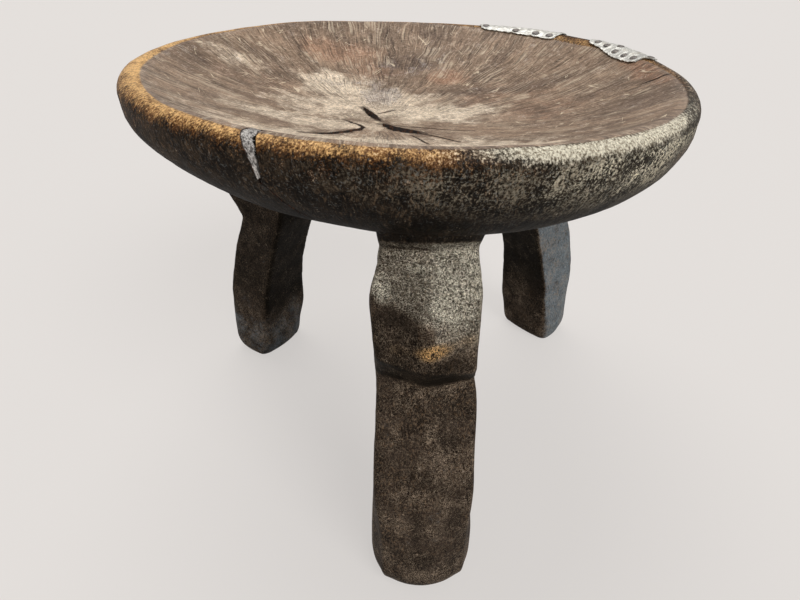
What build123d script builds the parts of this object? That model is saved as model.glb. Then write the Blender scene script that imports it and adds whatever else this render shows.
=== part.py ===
from build123d import *
import math
import os

# Seat: a thick dished disc, round about its own axis
seat_radius = 178.5
seat_height = 284.0      # crest of the rim above the floor, on the seat's axis
seat_lean = 2.0          # degrees: the seat dips towards +X
rim_round = 8.0          # radius of the rim's outer shoulder
lip_width = 8.5          # from the crest in to the dish's edge
lip_round = 14.5         # radius of the rim's inner shoulder
dish_depth = 38.0        # all depths and drops are from the crest down
dish_edge_slope = 0.55
belly_depth = 74.0
belly_high = (4.5, 21.5)     # inset from the widest circle, drop below the crest
belly_mid = (13.5, 37.0)
belly_low = (29.5, 52.5)
belly_flat = (60.0, 66.0)

# Legs: squared, splayed posts with a faceted knee under the seat
leg_corner = 8.0
leg_ridge = 5.0          # how far the middle ridge stands out of the outer face
foot_round = 14.0        # height over which the foot is rounded off
sole_out = 10.0          # the sole's edges, in from the foot's
sole_in = 5.0
neck_drop = 66.0         # neck line below the crest
knee_upper = 28.0        # neck line down to the knee's ridge
knee_lower = 18.0        # ridge down to the knee's lower edge
knee_undercut = 28.0     # lower edge down to the shank
bow_high_level = 110.0   # the shank bows outwards between these two levels
bow_low_level = 65.0
leg_inside_seat = 34.0   # how far below the crest the legs end in the wood

# Outer ridge of a leg, inwards from its foot's
bow_low_inset = 2.0
bow_high_inset = 10.0
shank_inset = 22.5
edge_inset = 5.0
knee_inset = 13.0
neck_inset = 31.0
flare_inset = 12.0

# Inner face of a leg, inwards from its foot's
bow_low_in = 3.0
bow_high_in = 14.0
shank_in = 27.0
edge_in = 31.0
knee_in = 34.0
neck_in = 37.0
flare_in = 44.0

# Each leg: direction, reach of its foot from the axis, width, depth from inner face to ridge
front_leg = (-89.7, 173.0, 59.0, 44.0)
left_leg = (145.7, 179.5, 51.0, 43.0)
right_leg = (38.1, 188.5, 51.0, 44.0)

# Crack in the rim at the front left, partly filled
crack_direction = -117.0
crack_width = 7.0
crack_foot_width = 1.6
crack_drop = 30.0
crack_reach = 22.0       # from the widest circle in
crack_overrun = 5.0      # the cut starts this far outside the wood
filler_share = 0.62      # of the crack's width at the top

# Repair strips of thin sheet, bent over the rim and nailed down
sheet = 1.0
sheet_clearance = 0.3    # between the sheet and the wood under it
strip_inner_bend = 25.0  # degrees, from the crest to the strip's inner edge
strip_outer_bend = 60.0
left_strip = (44.5, 68.0)
right_strip = (10.0, 34.0)

nail_head_radius = 2.2
nail_head_height = 1.2
nail_shank_radius = 0.8
nail_length = 15.0
nail_point = 3.0
nail_tip_radius = 0.15
nail_skirt = 0.5         # the head reaches this far down, trimmed to the sheet

# Nails: direction round the rim, lean off the crest towards the outside
left_nails = [(64.5, 18.0), (56.5, 10.0), (50.8, 12.0), (46.4, 20.0), (48.6, 44.0)]
right_nails = [(32.2, 28.0), (27.5, 12.0), (20.6, -11.0), (15.8, -11.0), (12.2, 14.0), (25.0, 44.0)]

crest_radius = seat_radius - rim_round
dish_radius = crest_radius - lip_width
lip_drop = lip_round - math.sqrt(lip_round ** 2 - lip_width ** 2)
neck_level = seat_height - neck_drop
knee_level = neck_level - knee_upper
edge_level = knee_level - knee_lower
shank_level = edge_level - knee_undercut


def in_seat(shape):
    """From the seat's own frame, with the crest at z = 0, to where the seat stands.

    It leans about the middle of its widest circle, so that circle stays centred.
    """
    return Pos(0, 0, seat_height - rim_round) * Rot(0, seat_lean, 0) * Pos(0, 0, rim_round) * shape


def seat_blank():
    """The disc before its hollow is cut."""
    belly = [(seat_radius, -rim_round)]
    for inset, drop in (belly_high, belly_mid, belly_low, belly_flat):
        belly.append((seat_radius - inset, -drop))
    belly.append((0, -belly_depth))
    with BuildSketch(Plane.XZ) as outline:
        with BuildLine():
            Line((0, 0), (crest_radius, 0))
            RadiusArc((crest_radius, 0), (seat_radius, -rim_round), rim_round)
            Spline(*belly, tangents=[(0, -1), (-1, 0)])
            Line((0, -belly_depth), (0, 0))
        make_face()
    return revolve(outline.sketch, Axis.Z)


def dish_hollow():
    """What is carved out of the disc, with the air above it."""
    headroom = 20.0
    edge = (dish_radius, -lip_drop)
    with BuildSketch(Plane.XZ) as outline:
        with BuildLine():
            Line((0, headroom), (crest_radius, headroom))
            Line((crest_radius, headroom), (crest_radius, 0))
            RadiusArc((crest_radius, 0), edge, -lip_round)
            Spline(edge, (0, -dish_depth), tangents=[(-1, -dish_edge_slope), (-1, 0)])
            Line((0, -dish_depth), (0, headroom))
        make_face()
    return revolve(outline.sketch, Axis.Z)


def leg_section(level, inner, outer, width, corner):
    """Flat inner face, two sides, and an outer face with a ridge down its middle."""
    half = width / 2
    corners = [
        (inner, -half),
        (outer - leg_ridge, -half),
        (outer, 0),
        (outer - leg_ridge, half),
        (inner, half),
    ]
    outline = make_face(Polyline(*corners, close=True))
    rounded = fillet(outline.vertices(), corner)
    return Pos(0, 0, level) * rounded


def leg(direction, reach, width, depth):
    """One leg, from its sole up into the seat."""
    inner = reach - depth
    flare_level = seat_height - leg_inside_seat
    shank = width * 0.92
    sections = [
        leg_section(0, inner + sole_in, reach - sole_out, width * 0.8, leg_corner * 1.3),
        leg_section(foot_round, inner, reach, width * 0.98, leg_corner * 1.4),
        leg_section(bow_low_level, inner - bow_low_in, reach - bow_low_inset, width, leg_corner * 1.2),
        leg_section(bow_high_level, inner - bow_high_in, reach - bow_high_inset, width * 0.97, leg_corner),
        leg_section(shank_level, inner - shank_in, reach - shank_inset, shank, leg_corner),
        leg_section(edge_level, inner - edge_in, reach - edge_inset, width * 0.98, leg_corner),
        leg_section(knee_level, inner - knee_in, reach - knee_inset, width * 0.98, leg_corner),
        leg_section(neck_level, inner - neck_in, reach - neck_inset, width * 0.85, leg_corner),
        leg_section(flare_level, inner - flare_in, reach - flare_inset, width, leg_corner),
    ]
    return Rot(0, 0, direction) * loft(sections, ruled=True)


def crack_wedge(top_width):
    """A wedge down through the rim, flush with the crack's near side."""
    near = -crack_width / 2
    side = [
        (near, crack_overrun),
        (near + top_width, crack_overrun),
        (near + (crack_width + crack_foot_width) / 2, -crack_drop),
        (near + (crack_width - crack_foot_width) / 2, -crack_drop),
    ]
    start = Plane.YZ.offset(seat_radius - crack_reach)
    outline = start * make_face(Polyline(*side, close=True))
    return Rot(0, 0, crack_direction) * extrude(outline, amount=crack_reach + crack_overrun)


def nail_blank():
    """One nail, point down: a shank that runs up into its head, and the head with its skirt."""
    shank_top = nail_head_height / 2
    straight = nail_length - nail_point + shank_top
    shank = Pos(0, 0, shank_top - straight / 2) * Cylinder(nail_shank_radius, straight)
    taper = Cone(nail_shank_radius, nail_tip_radius, nail_point, rotation=(180, 0, 0))
    point = Pos(0, 0, shank_top - straight - nail_point / 2) * taper
    ball_radius = (nail_head_radius ** 2 + nail_head_height ** 2) / (2 * nail_head_height)
    dome = Pos(0, 0, nail_head_height - ball_radius) * Sphere(ball_radius)
    cap = dome & Pos(0, 0, nail_head_height / 2) * Cylinder(nail_head_radius, nail_head_height)
    skirt = Pos(0, 0, -nail_skirt / 2) * Cylinder(nail_head_radius, nail_skirt)
    return shank + point, cap + skirt


def on_rim(direction, lean, shape):
    """Put a shape on the strips' outer surface, its +Z square to the rim there."""
    shoulder = rim_round if lean >= 0 else lip_round
    centre = Pos(crest_radius, 0, -shoulder)
    height = shoulder + sheet_clearance + sheet
    return in_seat(Rot(0, 0, direction) * centre * Rot(0, lean, 0) * Pos(0, 0, height) * shape)


def strip_edge(shoulder, bend, lift):
    """A point of the strip's section, bend degrees round from the crest."""
    angle = math.radians(bend)
    radius = shoulder + lift
    return (crest_radius + radius * math.sin(angle), radius * math.cos(angle) - shoulder)


def strip_blank(start, end):
    """Thin sheet bent over the rim, with no holes yet."""
    under = sheet_clearance
    over = sheet_clearance + sheet
    inner = -strip_inner_bend
    outer = strip_outer_bend
    with BuildSketch(Plane.XZ) as outline:
        with BuildLine():
            RadiusArc(strip_edge(lip_round, inner, under), (crest_radius, under), lip_round + under)
            RadiusArc((crest_radius, under), strip_edge(rim_round, outer, under), rim_round + under)
            Line(strip_edge(rim_round, outer, under), strip_edge(rim_round, outer, over))
            RadiusArc(strip_edge(rim_round, outer, over), (crest_radius, over), -rim_round - over)
            RadiusArc((crest_radius, over), strip_edge(lip_round, inner, over), -lip_round - over)
            Line(strip_edge(lip_round, inner, over), strip_edge(lip_round, inner, under))
        make_face()
    return in_seat(Rot(0, 0, start) * revolve(outline.sketch, Axis.Z, revolution_arc=end - start))


def stool_carving():
    """Seat and legs as carved, sound all round."""
    body = in_seat(seat_blank())
    for sizes in (front_leg, left_leg, right_leg):
        body = body + leg(*sizes)
    return body - in_seat(dish_hollow())


shank_blank, head_blank = nail_blank()
nail_places = left_nails + right_nails
shanks = [on_rim(direction, lean, shank_blank) for direction, lean in nail_places]
heads = [on_rim(direction, lean, head_blank) for direction, lean in nail_places]

carving = stool_carving()
filler = in_seat(crack_wedge(crack_width * filler_share)) & carving
stool_body = carving - in_seat(crack_wedge(crack_width)) - shanks
strip_left = strip_blank(*left_strip) - shanks[:len(left_nails)]
strip_right = strip_blank(*right_strip) - shanks[len(left_nails):]

nails = []
for place, (shank, head) in enumerate(zip(shanks, heads)):
    strip = strip_left if place < len(left_nails) else strip_right
    nails.append((shank + head) - strip)

os.makedirs("parts", exist_ok=True)
export_step(stool_body, "parts/stool_body.step")
export_step(filler, "parts/crack_filler.step")
export_step(strip_left, "parts/rim_strip_left.step")
export_step(strip_right, "parts/rim_strip_right.step")
export_step(Compound(children=nails), "parts/strip_nails.step")
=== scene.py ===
import math
import bmesh
import bpy
import numpy as np
from mathutils import Matrix, Vector, noise
from mathutils.bvhtree import BVHTree


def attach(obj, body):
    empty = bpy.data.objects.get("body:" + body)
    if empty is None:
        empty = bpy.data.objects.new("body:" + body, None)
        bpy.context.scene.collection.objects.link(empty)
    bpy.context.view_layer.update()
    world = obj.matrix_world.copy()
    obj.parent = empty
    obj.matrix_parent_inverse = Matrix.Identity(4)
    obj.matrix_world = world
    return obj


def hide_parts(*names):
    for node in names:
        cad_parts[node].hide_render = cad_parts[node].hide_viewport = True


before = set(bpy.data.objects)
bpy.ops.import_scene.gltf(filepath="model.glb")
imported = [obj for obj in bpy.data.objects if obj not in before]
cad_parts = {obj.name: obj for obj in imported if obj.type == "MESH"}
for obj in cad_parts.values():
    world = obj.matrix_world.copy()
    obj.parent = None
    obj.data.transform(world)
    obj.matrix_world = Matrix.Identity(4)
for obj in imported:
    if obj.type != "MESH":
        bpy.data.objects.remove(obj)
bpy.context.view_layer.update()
mm = 0.001

# Sizes are in millimetres here and become metres on the way in
seat = {
    "radius": 178.5,
    "height": 284.0,
    "lean": 2.0,
    "rimRound": 8.0,
    "lipWidth": 8.5,
    "lipRound": 14.5,
    "dishDepth": 38.0,
    "dishEdgeSlope": 0.55,
    "belly": [(4.0, 21.5), (14.0, 37.0), (32.0, 52.5), (62.0, 65.0), (112.0, 72.5)],
    "bellyDepth": 74.0,
    "spokes": 360,
    "pith": (-22.0, -9.0),
    # direction, how far the rim stands out there, how far it stands up
    "rim": [
        (-180, 0.0, -0.3), (-165, 0.0, 0.0), (-140, 0.0, 0.0), (-90, -0.1, 0.0), (-40, 0.5, 0.0),
        (-25, 0.0, 0.5), (-8, -0.4, 2.0), (5, -0.3, 3.0), (20, 4.3, 3.2), (38, 7.0, 3.0), (52, 5.5, 2.6),
        (66, 2.8, 1.6), (85, -0.1, 0.6), (100, -0.3, 0.5), (120, 0.5, 1.4), (140, -0.3, 0.3),
        (160, -1.0, -0.4), (180, 0.0, -0.3),
    ],
    # how far the belly sits towards +X, and how much it sinks for each millimetre of x
    "bellyShift": 3.5,
    "bellySink": 0.022,
    # swellings round the belly: direction, spread, height
    "swellings": [(-33, 20, 2.2), (-150, 16, 1.6)],
    # waves: size across, place in the noise, height; flats left by the tool: size across, depth
    "waves": [(60.0, 0.0, 0.7), (22.0, 5.0, 0.3)],
    "flats": (14.0, 0.8),
    # direction, how golden the lip is there
    "gold": [
        (-180, 1.1), (-150, 1.1), (-120, 0.9), (-95, 0.98), (-80, 0.86), (-70, 0.5), (-58, 0.12),
        (-35, 0.15), (-20, 0.5), (0, 0.75), (20, 0.8), (60, 0.8), (100, 0.7), (140, 0.85), (180, 1.1),
    ],
    # direction, where the dish's grey gives way to the worn lip, from the crest outwards
    "lipStart": [
        (-180, -5.0), (-160, -5.0), (-147, -3.5), (-135, 0.0), (-118, 1.5), (-90, 1.5), (-72, 0.0),
        (-60, 2.0), (-45, 2.0), (-32, 0.5), (-22, -1.5), (0, -4.0), (30, -4.0), (60, -3.0),
        (90, -1.5), (120, -1.5), (150, -3.5), (180, -5.0),
    ],
}
crestRadius = seat["radius"] - seat["rimRound"]
leg = {
    # level, outer ridge in from the foot's, inner face in from the foot's, share of the width,
    # how far the ridge stands out of the outer face
    "levels": [
        (0.0, 0.5, 0.0, 1.00, 2.0),
        (8.0, 0.5, 0.0, 1.00, 2.0),
        (30.0, 0.0, 0.6, 1.00, 2.5),
        (65.0, 2.0, 3.0, 0.94, 4.0),
        (88.0, 5.0, 7.5, 0.94, 5.0),
        (110.0, 10.0, 14.0, 0.935, 6.5),
        (141.0, 22.5, 25.0, 0.955, 9.0),
        (163.0, 5.5, 28.0, 0.895, 8.5),
        (196.0, 12.0, 31.0, 0.985, 13.0),
        (219.0, 30.0, 34.0, 0.88, 5.0),
        (249.0, 13.5, 42.0, 0.99, 4.0),
        (260.0, 26.0, 8.0, 0.90, 2.0),
    ],
    # levels: top of the foot, top of the shank, the knee, its ridge, and where the flare begins
    "ankle": 80.0,
    "shankTop": 170.0,
    "knee": (150.0, 210.0),
    "kneeRidge": 196.0,
    "flareFrom": 240.0,
    "corner": 3.2,
    "crease": 1.2,
    "voxel": 2.12,
    # the sole's rounding: height, power, how much it draws in depth and width
    "sole": (17.0, 2.2, 0.29, 0.09),
    # level and spread of the shank's set and of the knee's tilt
    "setAt": (128.0, 24.0),
    "tiltAt": (158.0, 16.0),
    # levels between which the foot's outer and inner corners, the neck's lean and the narrowing fade
    "outerCorners": (24, 84),
    "innerCorners": (8, 42),
    "lean": (185, 235),
    "narrowing": (205, 235),
    # flats left by the adze and slow waves: size across, size of the relief
    "flats": (12.0, 0.6),
    "waves": (34.0, 0.5),
}
# sway: how far the neck leans sideways; flare: how much less its top reaches out;
# set: how far the shank stands sideways; ridge: share of the ridge's height;
# drop: how far the knee's ridge is lowered; dip: how far its middle hangs below its ends;
# knee: how far the knee stands out; tilt: of its lower edge; slim and foot: shares of the width;
# square and squareIn: how square the foot's outer and inner corners are;
# narrow: how much narrower the inner side is
legPlaces = {
    "front": {"direction": -89.7, "reach": 173.0, "width": 60.0, "depth": 44.0, "sway": 3.0, "flare": 0.0,
              "set": 1.6, "ridge": 1.0, "drop": 0.0, "dip": 8.0, "knee": 0.0, "tilt": 6.0, "slim": 1.0,
              "foot": 1.03, "square": 2.3, "squareIn": 3.4, "narrow": 0.16},
    "left": {"direction": 145.7, "reach": 179.0, "width": 54.0, "depth": 44.0, "sway": 0.0, "flare": 4.0,
             "set": 0.0, "ridge": 0.5, "drop": 8.0, "dip": 0.0, "knee": 2.5, "tilt": 0.0, "slim": 0.93,
             "foot": 1.03, "square": 4.5, "squareIn": 2.0, "narrow": 0.0},
    "right": {"direction": 38.1, "reach": 189.0, "width": 54.0, "depth": 45.0, "sway": -1.0, "flare": 7.0,
              "set": 0.0, "ridge": 0.5, "drop": 4.0, "dip": 0.0, "knee": 0.0, "tilt": 0.0, "slim": 0.94,
              "foot": 1.03, "square": 3.0, "squareIn": 2.8, "narrow": 0.0},
}
# cracks in the dish: points, widest opening, depth
dishCracks = {
    "heart": ([(-32.5, 18.5), (-30, 11), (-27.5, 5), (-25.2, -1.5), (-22.8, -6.5), (-21.0, -11)], 5.6, 9.0),
    "hook": ([(-45, -15.5), (-39.3, -21), (-34, -27), (-31.6, -32.0), (-33.5, -37), (-40.2, -44.5),
              (-48.1, -52.6), (-57, -59.5), (-68, -65)], 2.6, 3.5),
    "slit": ([(-19.5, -18.5), (-16.5, -24.5), (-12.4, -29.3), (-6.1, -33.1), (0.5, -36.2),
              (5.0, -38.6)], 7.6, 10.0),
    "tail": ([(2.5, -37.4), (6.8, -40.2), (13.8, -45.9), (20.3, -53.9), (26, -62)], 1.5, 3.0),
    "branch": ([(-2.0, -43.3), (2.2, -52.3), (5.3, -61.9), (7.0, -68)], 1.1, 2.0),
    "pale": ([(-12.0, -21.2), (8, -24.2), (20.6, -28.2), (39.3, -33.8)], 0.8, 1.2),
    "spur": ([(-22.0, 6.0), (-18.5, 9.3), (-14.5, 13.0), (-11.0, 16.5)], 1.1, 2.0),
    "edge": ([(148.5, -16.0), (154.7, -17.4), (160.2, -19.0), (166.5, -21.0)], 1.8, 3.5),
}
# lips of the cracks that have risen: reach, rise
risenLips = {"slit": (6.0, 1.2), "hook": (7.0, 0.9)}
# heights of a crack's line over the dish's middle and edge, step along it, how far above it is dropped
# from, least share of its width, and how ragged its width and its course are
crackLine = {"middle": 262.0, "edge": 290.0, "edgeFrom": 120.0, "step": 2.2, "above": 12.0, "least": 0.10,
             "rag": 0.35, "wander": 0.45}
rimCrack = {
    # drop below the crest, left side, right side
    "sides": [(-6, -118.6, -115.3), (0, -118.2, -115.2), (3, -117.0, -114.5), (7, -116.0, -114.1),
              (14, -115.4, -114.2), (23, -115.1, -114.7)],
    # how far inside the crest the left and right sides begin at the top, and how much less at the bottom
    "leftIn": (8, 9),
    "rightIn": (5, 7),
    # its thin continuation down the belly: points, width, depth, the way into the wood
    "fissure": [(-74.4, -158.4, 265.5), (-70.2, -157.6, 260.4), (-67.8, -156.8, 257), (-65.1, -154.2, 252.0),
                (-62, -152.4, 248.0), (-60, -150.2, 244.5), (-55, -146, 239.0), (-48, -141, 234.0)],
    "fissureWidth": 1.7,
    "fissureDepth": 3.5,
    "fissureFall": (0.36, 0.87, 0.33),
}
wearAndPaintedLight = {
    # round the seat: direction, spread, strength. The first table is a painted highlight along the crest,
    # the next two the belly's greyish speckle, lighter on its right as painted light, and paleUnder lessens
    # the painted shade under the belly there
    "crestHighlight": [(-60, 22, 1.6), (-5, 26, 0.3)],
    "greyAndLit": [(-26, 30, 0.95), (-60, 20, 0.4)],
    "greyFront": [(-84, 20, 0.1)],
    "widerBelt": [(-168, 26, 1.6), (-60, 26, 0.5)],
    "lowerCrest": [(-58, 26, 4.0)],
    "paleUnder": [(-20, 26, 0.6)],
    # millimetres outwards over the crest, strength of the worn belt and of the painted highlight line along
    # the crest
    "belt": [(-5, 0), (-1, 0.9), (3, 1.0), (7, 0.78), (11, 0.42), (16, 0.18), (24, 0.07), (32, 0)],
    "crest": [(-4, 0), (-1, 0.8), (1, 1.0), (6, 0.85), (10, 0.4), (14, 0)],
    # direction and spread of each leg's worn places, painted shade and painted light
    "legs": {"left": (146, 30), "front": (-90, 40), "right": (38, 30)},
    # the fold over the front knee: height, rise to the sides, middle
    "fold": (187, 0.35, 4),
    # sideways place and height on the front leg, half sizes, strength: painted shade on the knee, its worn
    # gold, and painted highlights on it
    "kneeShade": [(-17, 179, 18, 17, 0.6), (-2, 165, 30, 5, 0.45), (-10, 222.5, 16, 1.1, 0.9),
                   (14, 148, 20, 9, 0.35), (-14, 152, 20, 6, 0.5), (12, 164, 20, 5, 0.6)],
    "kneeGold": [(4.5, 174, 13, 5.5, 0.85), (22, 176, 9, 5, 0.4), (-14, 174, 9, 5, 0.3)],
    "kneeGleam": [(-1, 212, 8, 1.8, 0.7), (25, 211, 5, 8, 0.5), (7, 197, 6, 5, 0.9), (-22, 201, 5, 7, 0.5),
                  (20, 188, 9, 8, 0.4), (12, 205, 14, 7, 0.3)],
    # middle x, middle y, half sizes, strength; the pale patches are worn wood with a painted sheen, the blue
    # ones a painted reflection
    "pale": [(-62, -28, 58, 18, 0.7), (-52, 58, 34, 26, 0.95), (18, 10, 50, 24, 1.0),
             (-22, -90, 112, 46, 0.85), (20, -95, 60, 34, 0.35),
             (-128, 58, 30, 12, 0.4), (-20, 24, 60, 48, 0.7), (-60, 10, 44, 34, 0.6)],
    "red": [(160, 8, 12, 46, 0.9), (-52, 116, 50, 22, 0.8), (-25, 96, 30, 16, 0.6),
            (34, 86, 24, 18, 0.95), (70, 40, 60, 36, 0.4), (88, -4, 46, 26, 0.5),
            (-96, 30, 60, 24, 0.35), (-22, -12, 8, 6, 0.6)],
    "dark": [(5, 112, 44, 16, 0.75), (36, 122, 34, 16, 0.6), (50, 55, 30, 9, 0.8), (98, 52, 32, 12, 0.75),
             (-150, 20, 14, 46, 0.5), (120, 95, 50, 40, 0.3), (-10, 66, 20, 7, 0.5), (-60, 88, 34, 8, 0.45),
             (145, -30, 16, 50, 0.35), (-76, -6, 20, 4, 0.6), (-50, 6, 12, 3, 0.6)],
    "blue": [(-19, 46, 17, 26, 0.9), (-34, 70, 22, 10, 0.5), (8, 100, 40, 20, 0.35), (-60, 62, 18, 6, 0.5)],
}
# direction and distance from the crest of each nail, and the strips' edges, outwards positive
strips = {
    "left": {
        "start": 66.2, "end": 41.0,
        "inner": [(66.2, -2.0), (65.3, -7.0), (63.5, -9.2), (59.3, -9.8), (53.9, -11.4), (49.4, -11.6),
                  (44.6, -12.4), (43.2, -12.2), (42.1, -10.0), (41.7, -6.0), (41.4, -1.5), (41.0, 2.0)],
        "outer": [(66.2, 4.0), (63, 7.5), (55, 8.5), (46, 8.5), (42.5, 7.5), (41.0, 5.0)],
        "nails": [(64.4, -2.4), (54.7, -6.8), (48.4, -7.2), (44.0, -7.6), (42.0, 3.6), (59.0, 6.0)],
    },
    "right": {
        "start": 31.4, "end": 5.8,
        "inner": [(31.4, -3.0), (30.2, -7.3), (26.4, -9.3), (21.7, -13.2), (17.8, -15.4), (14.0, -14.6),
                  (10.2, -13.6), (8.7, -11.0), (8.0, -5.4), (6.8, -2.0), (5.8, -0.5)],
        "outer": [(31.4, 4.0), (28, 8.0), (18, 8.5), (10, 7.5), (5.8, 3.0)],
        "nails": [(28.4, -3.2), (24.2, -5.4), (19.3, -9.0), (14.8, -9.4), (10.8, -8.0), (20.6, -1.0),
                  (7.8, 1.2)],
    },
}
# the head is a dented ball, flat underneath and narrower there
nail = {"wide": 3.3, "deep": 2.6, "high": 0.9, "sunk": 0.15, "dents": 0.07, "flat": 0.3, "neck": 0.85,
        "shank": 0.8, "length": 12.0}
# perDegree: millimetres of rim for each degree; ragged: its edges; dents and curl: how far it stands off
stripSheet = {"thick": 0.7, "gap": 0.35, "across": 26, "step": 0.28, "perDegree": 3.05, "ragged": 0.7,
              "dents": 0.25, "curl": 0.5, "least": 0.15}
# the plug over the rim: its share of the crack's width at the top and how much less at the bottom,
# how far it lies in, and the heights of its crown, fibres, lumps and slant
filler = {"thick": 3.5, "across": 26, "along": 110, "start": -6.0, "length": 32.0, "share": 0.80,
          "taper": 0.22, "sunk": 1.1, "crown": 0.8, "fibre": 0.3, "lump": 0.35, "slant": 0.5, "ring": 16.0}
camera = {
    "place": (-20.7, -410.4, 368.8),
    "azimuth": -3.1,
    "pitch": 24.9,
    "roll": 0.5,
    "focal": 619.9,
    "middle": (412.4, 207.6),
}
# screen colours, 0 to 255
tones = {
    "dishBrown": (122, 103, 88), "dishTan": (148, 126, 107), "dishRed": (168, 120, 92),
    # the dish's pale is worn wood with a painted sheen, its blue a painted reflection
    "dishDark": (86, 71, 63), "dishPaleSheen": (226, 209, 187), "dishBlueReflection": (136, 130, 132),
    "hairPale": (230, 212, 184), "fineDark": (66, 52, 43), "glint": (250, 243, 230),
    "rayPale": (226, 210, 186), "rayDark": (62, 49, 41), "scratch": (228, 212, 186),
    "nearCrackDark": (44, 32, 25), "bellyDark": (26, 21, 17), "bellyBrown": (50, 41, 32),
    # the pale specks are partly the wood's own and partly painted light on the belly's right
    "speckDark": (48, 43, 36), "speckPale": (228, 220, 196), "postDark": (32, 25, 20),
    # the posts' greyish tone is painted light on the front knee; the legs' blue is a painted reflection on
    # the rear-right leg and a bluish tone on the rear-left foot
    "postBrown": (54, 45, 38), "postLitGrey": (88, 82, 72), "legBlue": (106, 118, 126),
    # the belly's shadow and the legs' near-black are painted shade, the latter partly the legs' own dark
    # patina
    "shadow": (7, 6, 5), "stain": (11, 8, 4), "fleckBrown": (128, 104, 80), "fleckLitGrey": (204, 198, 180),
    # the greyish flecks and the pale strokes are painted highlights where painted light lies
    "strokeBrown": (166, 148, 128), "strokeHighlight": (246, 240, 220), "strokeGold": (240, 192, 128),
    # the light gold is a painted highlight on the worn lip
    "curlGrey": (124, 128, 128), "goldDeep": (130, 82, 42), "goldHighlight": (254, 208, 142),
    # the painted highlight line along the crest: its deep and pale tones
    "highlightDeep": (120, 107, 86), "highlightPale": (250, 244, 224), "crackDark": (24, 17, 13),
    "crackBrown": (92, 56, 32), "sheetGrey": (168, 168, 164), "sheetPale": (212, 212, 206),
    "sheetStain": (148, 136, 118), "nailGrey": (84, 82, 84), "nailBrown": (132, 122, 112),
    "fillerDark": (70, 66, 64), "fillerPale": (214, 210, 206), "fillerBrown": (84, 70, 56),
    "floor": (227, 223, 220),
}


def deselectAll():
    if bpy.context.object and bpy.context.object.mode != "OBJECT":
        bpy.ops.object.mode_set(mode="OBJECT")
    bpy.ops.object.select_all(action="DESELECT")


def pick(piece):
    deselectAll()
    piece.select_set(True)
    bpy.context.view_layer.objects.active = piece


def applyModifier(piece, kind, **settings):
    pick(piece)
    modifier = piece.modifiers.new(kind.title(), kind)
    for name, value in settings.items():
        setattr(modifier, name, value)
    bpy.ops.object.modifier_apply(modifier=modifier.name)


def shadeByAngle(piece, degrees):
    pick(piece)
    bpy.ops.object.shade_smooth_by_angle(angle=math.radians(degrees))
    return piece


def joinPieces(pieces):
    pick(pieces[0])
    for piece in pieces:
        piece.select_set(True)
    bpy.ops.object.join()
    return bpy.context.object


def linkObject(name, data):
    made = bpy.data.objects.new(name, data)
    bpy.context.scene.collection.objects.link(made)
    return made


def readPoints(piece, what="co"):
    count = len(piece.data.vertices)
    points = np.empty(count * 3, dtype=np.float32)
    piece.data.vertices.foreach_get(what, points)
    return points.reshape(count, 3).astype(float)


def writePoints(piece, points):
    piece.data.vertices.foreach_set("co", points.astype(np.float32).ravel())
    piece.data.update()


def smoothStep(low, high, value):
    share = np.clip((value - low) / (high - low), 0.0, 1.0)
    return share * share * (3.0 - 2.0 * share)


def hump(value, middle, spread):
    # 1 at the middle, falling to 0 over the spread
    return np.exp(-((value - middle) / spread) ** 2)


def bulge(degrees, middle, spread):
    # a hump round the seat, in degrees
    return hump((degrees - middle + 180.0) % 360.0 - 180.0, 0.0, spread)


def bulges(degrees, table):
    # several bulges added up: direction, spread, strength
    return sum(strength * bulge(degrees, middle, spread) for middle, spread, strength in table)


def profile(value, table):
    # a level looked up in a table of values and levels
    return np.interp(value, *zip(*table))


def cloud(points, scale, offset=0.0):
    # soft noise from -1 to 1, one lump about scale across, scale in the points' own unit
    moved = points / scale + np.array([offset, offset * 0.7, -offset])
    return np.array([noise.noise(point) for point in moved.tolist()])


def around(degrees, table, column):
    # a smooth value round the rim from a table of directions
    knots = np.array([row[0] for row in table], dtype=float)
    values = np.array([row[column] for row in table], dtype=float)
    fine = np.arange(-180, 181, 1.0)
    level = np.interp(fine, knots, values)
    ring = level[:-1]
    for _ in range(3):
        ring = sum(np.roll(ring, step) for step in range(-4, 5)) / 9
    return np.interp(degrees, fine, np.append(ring, ring[0]))


def dishDrop(radius):
    # how far the dish lies below the crest, in millimetres
    edge = crestRadius - seat["lipWidth"]
    lipDrop = seat["lipRound"] - math.sqrt(seat["lipRound"] ** 2 - seat["lipWidth"] ** 2)
    share = 1.0 - radius / edge
    rise = seat["dishDepth"] - lipDrop
    start = seat["dishEdgeSlope"] * edge / rise
    blend = start * (share - 2 * share ** 2 + share ** 3) + 3 * share ** 2 - 2 * share ** 3
    return lipDrop + rise * blend


def shoulder(bend, angles):
    # points of a rounded shoulder beside the crest
    return [(crestRadius + bend * math.sin(angle), bend * (math.cos(angle) - 1)) for angle in angles]


def seatOutline():
    # radius and height from the crest, from the middle of the dish round to the middle underneath
    fineUpTo = 70
    radii = np.concatenate([np.arange(0, fineUpTo, 1.4),
                            np.arange(fineUpTo, crestRadius - seat["lipWidth"], 2.2)])
    outline = [(radius, -dishDrop(radius)) for radius in radii]
    lipAngle = math.asin(seat["lipWidth"] / seat["lipRound"])
    outline += shoulder(seat["lipRound"], np.linspace(-lipAngle, 0, 6))
    outline += shoulder(seat["rimRound"], np.linspace(0, math.pi / 2, 8)[1:])
    knots = [(seat["radius"], seat["rimRound"])]
    knots += [(seat["radius"] - inset, drop) for inset, drop in seat["belly"]]
    knots.append((0.0, seat["bellyDepth"]))
    return outline + bellyCurve(np.array(knots))


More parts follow.
